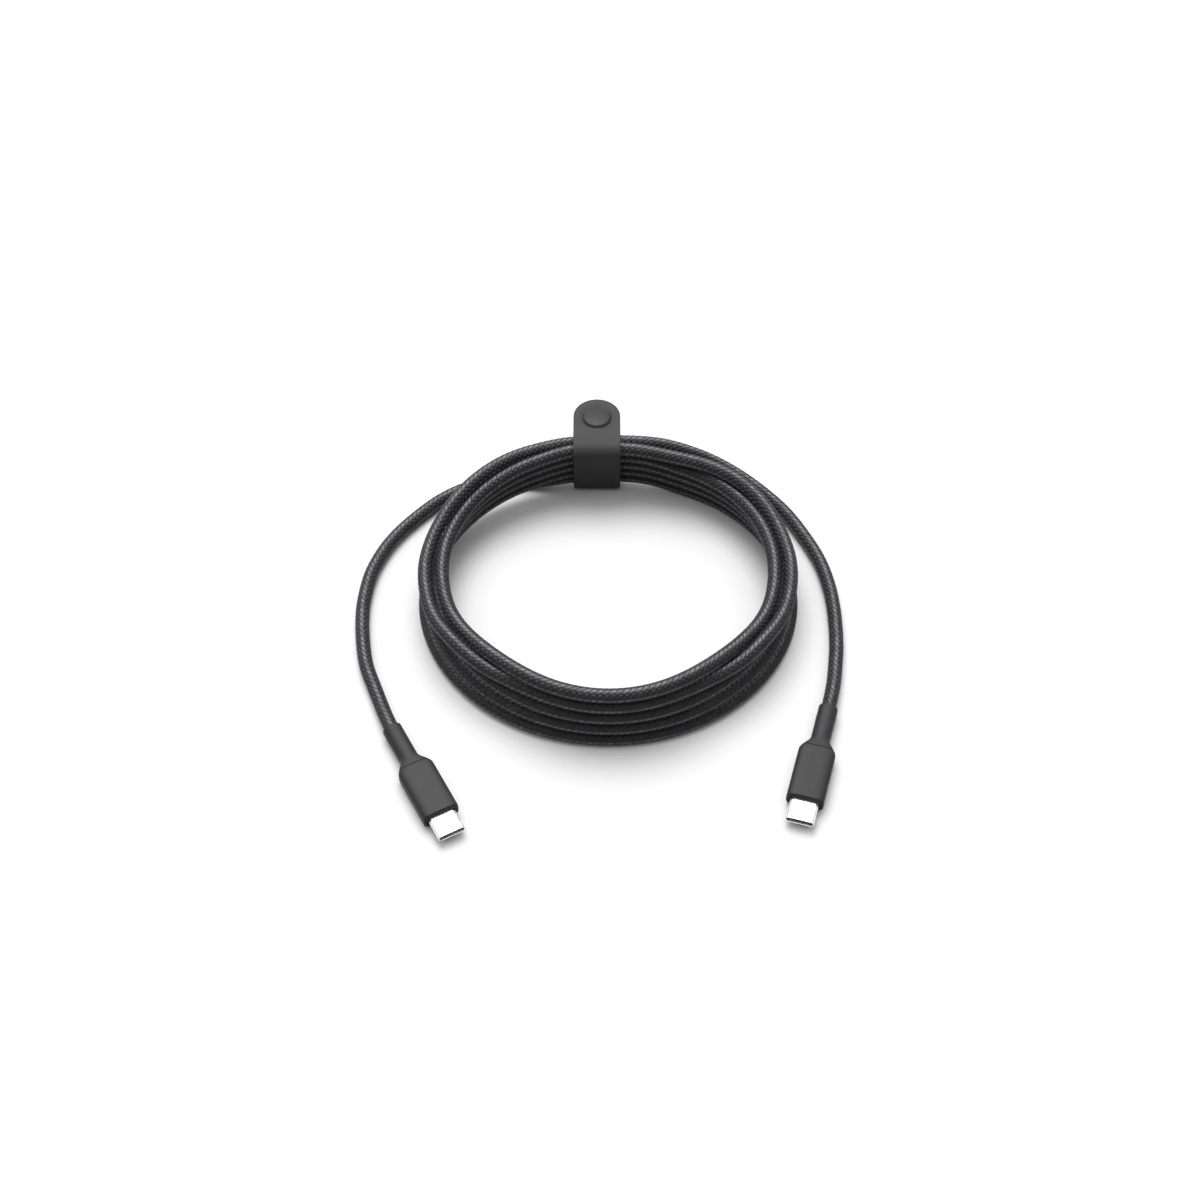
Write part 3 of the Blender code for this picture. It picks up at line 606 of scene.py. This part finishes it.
def stadium(half_width, half_height):
    straight = half_width - half_height
    c = np.cos(CORNER_ANGLES)
    s = np.sin(CORNER_ANGLES)
    return np.stack((np.sign(c) * straight + half_height * c, half_height * s), axis=1)


def plug_outline(x, inset=0.0):
    """The moulded outside of the plug at a distance from its cable end."""
    start = NECK_LENGTH - SHOULDER_START
    t = smooth_step((x - start) / (SHOULDER_END - start))
    half_width = NECK_HALF[0] + (BODY_HALF[0] - NECK_HALF[0]) * t
    half_height = NECK_HALF[1] + (BODY_HALF[1] - NECK_HALF[1]) * t
    power = NECK_POWER + (BODY_POWER - NECK_POWER) * t
    return superellipse(half_width - inset, half_height - inset, power)


def rounded_end(x, radius, forward):
    """Stations that round the edge of a moulding at its end face, from full size to inset."""
    stations = []
    for degrees in (0, 18, 36, 54, 72, 90):
        t = radians(degrees)
        at = x - forward * radius * (1.0 - sin(t))
        stations.append((at, radius * (1.0 - cos(t))))
    return stations


def plug_piece(side, part, stations, finish):
    """A moulded or drawn piece of a plug from (distance, outline) stations, joined in a loop."""
    (x, y), heading = PLUGS[side]
    origin = np.array((x, y, PLUG_AXIS_Z)) + SHIFT
    forward = np.array((cos(heading), sin(heading), 0.0))
    leftward = np.array((-sin(heading), cos(heading), 0.0))
    upward = np.array((0.0, 0.0, 1.0))
    rings = []
    for along, outline in stations:
        rings.append(origin + along * MM * forward
                     + outline[:, :1] * MM * leftward + outline[:, 1:] * MM * upward)
    piece = skin(f"{side}_{part}_moulding", np.array(rings), finish, closed=True)
    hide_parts(f"{side}_{part}")
    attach(piece, "root")
    return piece


def outside(xs):
    return [(x, plug_outline(x)) for x in xs]


def rounded(ends):
    return [(x, plug_outline(x, inset)) for x, inset in ends]


def make_strain_relief(side, finish):
    socket_radius, socket_depth = CORD_SOCKET
    edge_depth, edge_width = SOCKET_EDGE
    end = PARTING - PARTING_GAP
    stations = [(socket_depth, round_hole(JACKET_HOLE)), (socket_depth, round_hole(socket_radius)),
                (edge_depth, round_hole(socket_radius)),
                (0.0, round_hole(socket_radius + edge_width))]
    stations += rounded(rounded_end(0.0, CABLE_ROUND, -1)[::-1])
    stations += outside(np.arange(1.5, end - 0.4, 0.5))
    stations += rounded(rounded_end(end, PARTING_ROUND, 1))
    stations.append((end, round_hole(JACKET_HOLE)))
    return plug_piece(side, "strain_relief", stations, finish)


def make_housing(side, finish):
    start = PARTING + PARTING_GAP
    slot_end = HOUSING_END - SLOT_DEPTH
    slot_outline = stadium(SHELL_HALF[0] + SLOT_CLEAR, SHELL_HALF[1] + SLOT_CLEAR)
    slot_mouth = stadium(SHELL_HALF[0] + 2 * SLOT_CLEAR, SHELL_HALF[1] + 2 * SLOT_CLEAR)
    pocket = superellipse(BODY_HALF[0] - POCKET_WALLS[0], BODY_HALF[1] - POCKET_WALLS[1],
                          POCKET_POWER)
    stations = [(start, round_hole(JACKET_HOLE))]
    stations += rounded(rounded_end(start, PARTING_ROUND, -1)[::-1])
    stations += outside((16.1, 16.4, 16.8, 17.2, 17.8, 20.0, 24.0, 28.0, 31.5))
    stations += rounded(rounded_end(HOUSING_END, MOUTH_ROUND, 1))
    stations += [(HOUSING_END, slot_mouth), (HOUSING_END - SLOT_CLEAR, slot_outline),
                 (slot_end, slot_outline), (slot_end, pocket),
                 (POCKET_START, pocket), (POCKET_START, round_hole(JACKET_HOLE))]
    return plug_piece(side, "plug_housing", stations, finish)


def make_shell(side, finish):
    """The drawn metal mouth, with a rounded lip."""
    lip = SHELL_WALL / 2
    stations = [(x, stadium(*SHELL_HALF)) for x in (SHELL_BACK, 34.0, 36.0, 38.0)]
    for degrees in range(0, 181, 20):
        t = radians(degrees)
        inset = lip * (1.0 - cos(t))
        outline = stadium(SHELL_HALF[0] - inset, SHELL_HALF[1] - inset)
        stations.append((TIP_END - lip * (1.0 - sin(t)), outline))
    inside = stadium(SHELL_HALF[0] - SHELL_WALL, SHELL_HALF[1] - SHELL_WALL)
    stations += [(x, inside) for x in (38.0, 34.0, SHELL_BACK)]
    return plug_piece(side, "plug_shell", stations, finish)


# Strap -----------------------------------------------------------------------------
def strap_point(degrees):
    """A point of the strap's middle line where it goes around the turns, in millimetres."""
    centres = []
    for around in (-12, -6, 0, 4):
        a = radians(around) % (2 * pi)
        windings = [a + 2 * pi * turn for turn in range(-1, 6)]
        windings = [w for w in windings if COIL_START - 1e-6 <= w <= COIL_END + 1e-6]
        for radius, height in map(coil_place, windings + [COIL_START]):
            centres.append(((RING_CENTRE[1] + radius * cos(a)) / MM, height / MM))
    t = radians(degrees)
    y, z = max(centres, key=lambda c: c[0] * cos(t) + c[1] * sin(t))
    reach = CORD / MM / 2 + STRAP_CLEAR + STRAP_THICK / 2
    return y + reach * cos(t), z + reach * sin(t)


def strap_path():
    """The strap's middle line as (y, z): in from the press stud, over, down, under and out."""
    top_z = strap_point(90)[1]
    path = [(TAB_ROUND_Y, TAB_Z), (TAB_FLAT_Y, TAB_Z)]
    for step in range(SLOPE_STEPS + 1):
        gone = step / SLOPE_STEPS
        drop = smooth_step(gone)
        path.append((HINGE_Y + SLOPE_LENGTH * (1 - gone), TAB_Z + (top_z - TAB_Z) * drop))
    path.append((HINGE_Y - HINGE_FLAT, top_z))
    path += [strap_point(degrees) for degrees in range(90, 361, 6)]
    side_y = path[-1][0]
    bend_z = LOWER_LEAF_Z - LEAF_BEND
    path.append((side_y, bend_z - LEAF_DROP))
    for degrees in range(0, 91, 15):
        t = radians(degrees)
        path.append((side_y + LEAF_BEND * (1 - cos(t)), bend_z + LEAF_BEND * sin(t)))
    path.append((TAB_ROUND_Y, LOWER_LEAF_Z))
    path = np.array(path)
    gone = np.concatenate(((0.0,), np.cumsum(np.linalg.norm(np.diff(path, axis=0), axis=1))))
    wanted = np.linspace(0.0, gone[-1], int(gone[-1] / STRAP_SPACING))
    path = np.stack([np.interp(wanted, gone, column) for column in path.T], axis=1)
    for _ in range(10):
        path[1:-1] = (path[:-2] + 2 * path[1:-1] + path[2:]) / 4
    return path


def strap_section():
    """Around the strap: (share of the flat width, inset of the edge, height over the middle)."""
    half = STRAP_THICK / 2
    flat = np.linspace(-1.0, 1.0, STRAP_COLUMNS + 1)
    arc = [radians(degrees) for degrees in (72, 54, 36, 18, 0, -18, -36, -54, -72)]
    top = [(share, STRAP_EDGE, half) for share in flat]
    straight = half - STRAP_EDGE
    right = [(1.0, STRAP_EDGE * (1 - cos(t)), straight * np.sign(t) + STRAP_EDGE * sin(t))
             for t in arc]
    bottom = [(share, STRAP_EDGE, -half) for share in flat[::-1]]
    left = [(-share, inset, height) for share, inset, height in right[::-1]]
    return top + right + bottom + left


def strap_piece(name, path, facing, finish, seat):
    """A band with a round end at the path's start, wrapped from its flat pattern."""
    radius = STRAP_WIDTH / 2
    tangent = np.gradient(path, axis=0)
    tangent /= np.linalg.norm(tangent, axis=1)[:, None]
    normal = facing * np.stack((tangent[:, 1], -tangent[:, 0]), axis=1)
    section = strap_section()
    rings = []
    for degrees in range(90, 0, -5):
        t = radians(degrees)
        rings.append([(-(radius - inset) * sin(t), share * (radius - inset) * cos(t), height)
                      for share, inset, height in section])
    spacing = np.linalg.norm(path[1] - path[0])
    for i in range(len(path)):
        rings.append([(i * spacing, share * (radius - inset), height)
                      for share, inset, height in section])
    flat = np.array(rings)
    if seat:
        from_snap = np.hypot(flat[..., 0] - (TAB_ROUND_Y - SNAP_Y), flat[..., 1])
        depth, distance, width = SEAT
        groove = depth * np.exp(-((from_snap - CAP_RADIUS - distance) / width) ** 2)
        top_side = flat[..., 2] > STRAP_THICK / 2 - 0.01
        flat[..., 2] -= np.where(top_side, groove, 0.0)
    at = np.clip(flat[..., 0] / spacing, 0.0, len(path) - 1.0)
    low = np.minimum(at.astype(int), len(path) - 2)
    share = (at - low)[..., None]
    middle = path[low] * (1 - share) + path[low + 1] * share
    out = normal[low] * (1 - share) + normal[low + 1] * share
    middle = middle + np.minimum(flat[..., 0], 0.0)[..., None] * tangent[0]
    yz = middle + out * flat[..., 2:]
    points = np.concatenate((STRAP_X + flat[..., 1:2], yz), axis=-1) * MM + SHIFT
    piece = skin(name, points, finish, sharp=60.0, merge=0.000002)
    return piece


def make_strap(finish):
    path = strap_path()
    cut = int(np.argmin(path[:, 1] + 0.5 * np.abs(path[:, 0] - STRAP_CUT_Y)))
    upper = strap_piece("strap_band", path[:cut + 1], 1.0, finish, seat=True)
    lower = strap_piece("strap_lower_end", path[cut:][::-1], -1.0, finish, seat=False)
    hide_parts("strap_flap")
    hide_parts("strap_loop")
    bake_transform(upper)
    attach(lower, "root")


# Press stud ------------------------------------------------------------------------
CAP_STEM = (1.2, 21.75)   # radius of the cap's stem, and the height of its lower end
SOCKET_BOTTOM = 20.55
STUD_TOP = 21.2
RIVET_TOP = 21.0


def turned(name, profile, finish, node, body, ring=False):
    """A round piece on the press stud's axis from (radius, height) in millimetres."""
    angles = 2 * pi * np.arange(SNAP_STEPS) / SNAP_STEPS
    rings = []
    for radius, height in profile:
        circle = np.stack((STRAP_X + radius * np.cos(angles), SNAP_Y + radius * np.sin(angles),
                           np.full(SNAP_STEPS, height)), axis=1)
        rings.append(circle * MM + SHIFT)
    piece = skin(name, np.array(rings), finish, closed=ring, merge=0.0 if ring else 0.000002)
    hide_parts(node)
    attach(piece, body)
    return piece


def make_press_stud(finish):
    stem_radius, stem_end = CAP_STEM
    top = TAB_Z + STRAP_THICK / 2 - 0.12
    dome = [(radius, top + 0.92 - 0.28 * (radius / 3.6) ** 2)
            for radius in (0.0, 0.8, 1.6, 2.4, 3.0, 3.4, 3.6)]
    rim = [(3.95, top + 0.60), (4.15, top + 0.52), (4.45, top + 0.30),
           (CAP_RADIUS - 0.06, top + 0.12), (CAP_RADIUS, top), (stem_radius, top)]
    stem = [(stem_radius, stem_end), (0.0, stem_end)]
    turned("snap_cap_turned", dome + rim + stem, finish, "snap_cap", "strap_flap")

    under = TAB_Z - STRAP_THICK / 2 - 0.1
    socket = [(1.35, under), (3.5, under), (3.7, under - 0.08), (3.8, under - 0.25),
              (3.8, SOCKET_BOTTOM + 0.3), (3.72, SOCKET_BOTTOM + 0.11), (3.5, SOCKET_BOTTOM),
              (2.2, SOCKET_BOTTOM), (2.02, SOCKET_BOTTOM + 0.07), (1.95, SOCKET_BOTTOM + 0.25),
              (1.95, 21.5), (1.35, 21.6)]
    turned("snap_socket_turned", socket, finish, "snap_socket", "strap_flap", ring=True)

    base = LOWER_LEAF_Z + STRAP_THICK / 2 + 0.05
    stud = [(0.85, STUD_TOP), (1.1, STUD_TOP), (1.32, STUD_TOP - 0.08), (1.4, STUD_TOP - 0.25),
            (1.36, STUD_TOP - 0.4), (1.25, base + 0.5), (1.4, base + 0.38), (3.05, base + 0.35),
            (3.2, base + 0.2), (3.2, base), (0.85, base)]
    turned("snap_stud_turned", stud, finish, "snap_stud", "root", ring=True)

    below = LOWER_LEAF_Z - STRAP_THICK / 2 - 0.05
    rivet = [(0.0, RIVET_TOP), (0.55, RIVET_TOP), (0.7, RIVET_TOP - 0.1), (0.7, below),
             (1.9, below), (1.9, below - 0.3), (1.75, below - 0.45), (1.3, below - 0.56),
             (0.0, below - 0.6)]
    turned("snap_rivet_turned", rivet, finish, "snap_rivet", "root")


# Assembly --------------------------------------------------------------------------
make_camera()
cord, cord_line = make_cord(braid_material())
bpy.context.scene.view_settings.view_transform = "Standard"
make_sky()
make_softbox()
make_floor()

overmould = overmould_material()
plated = plated_material("plated_steel", (0.80, 0.80, 0.80), (0.92, 0.92, 0.91), 0.28, (1.0, 1.0, 0.2))
gold = plated_material("gold_contact", (0.86, 0.62, 0.24), (0.95, 0.72, 0.34), 0.26)
inner_finishes = {
    "contact_carrier": plastic_material("insulator", (0.012, 0.012, 0.013),
                                        (0.022, 0.022, 0.023), 0.45),
    "contacts_upper": gold,
    "contacts_lower": gold,
    "latch_plate": plated,
    "shield_upper": plated,
    "shield_lower": plated,
    "crimp_ring": plated,
    "circuit_board": plastic_material("laminate", (0.015, 0.13, 0.06), (0.025, 0.19, 0.09), 0.4),
    "marker_chip": plastic_material("chip", (0.014, 0.014, 0.014), (0.03, 0.03, 0.03), 0.5),
    "jacket_end": plastic_material("jacket", (0.02, 0.02, 0.021), (0.035, 0.035, 0.036), 0.5),
    "wire_power": plastic_material("wire_red", (0.48, 0.03, 0.02), (0.60, 0.05, 0.03), 0.4),
    "wire_ground": plastic_material("wire_black", (0.015, 0.015, 0.015), (0.03, 0.03, 0.03), 0.4),
    "wire_data": plastic_material("wire_green", (0.03, 0.30, 0.07), (0.05, 0.40, 0.10), 0.4),
    "wire_config": plastic_material("wire_white", (0.70, 0.70, 0.68), (0.82, 0.82, 0.80), 0.4),
}
plug_pieces = {}
for plug_side in PLUGS:
    plug_pieces[plug_side] = [make_strain_relief(plug_side, overmould),
                              make_housing(plug_side, overmould),
                              make_shell(plug_side, plated)]
    for part, inner_finish in inner_finishes.items():
        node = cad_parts[f"{plug_side}_{part}"]
        node.data.materials.clear()
        node.data.materials.append(inner_finish)
        plug_pieces[plug_side].append(node)

make_strap(strap_material())
make_press_stud(snap_material())
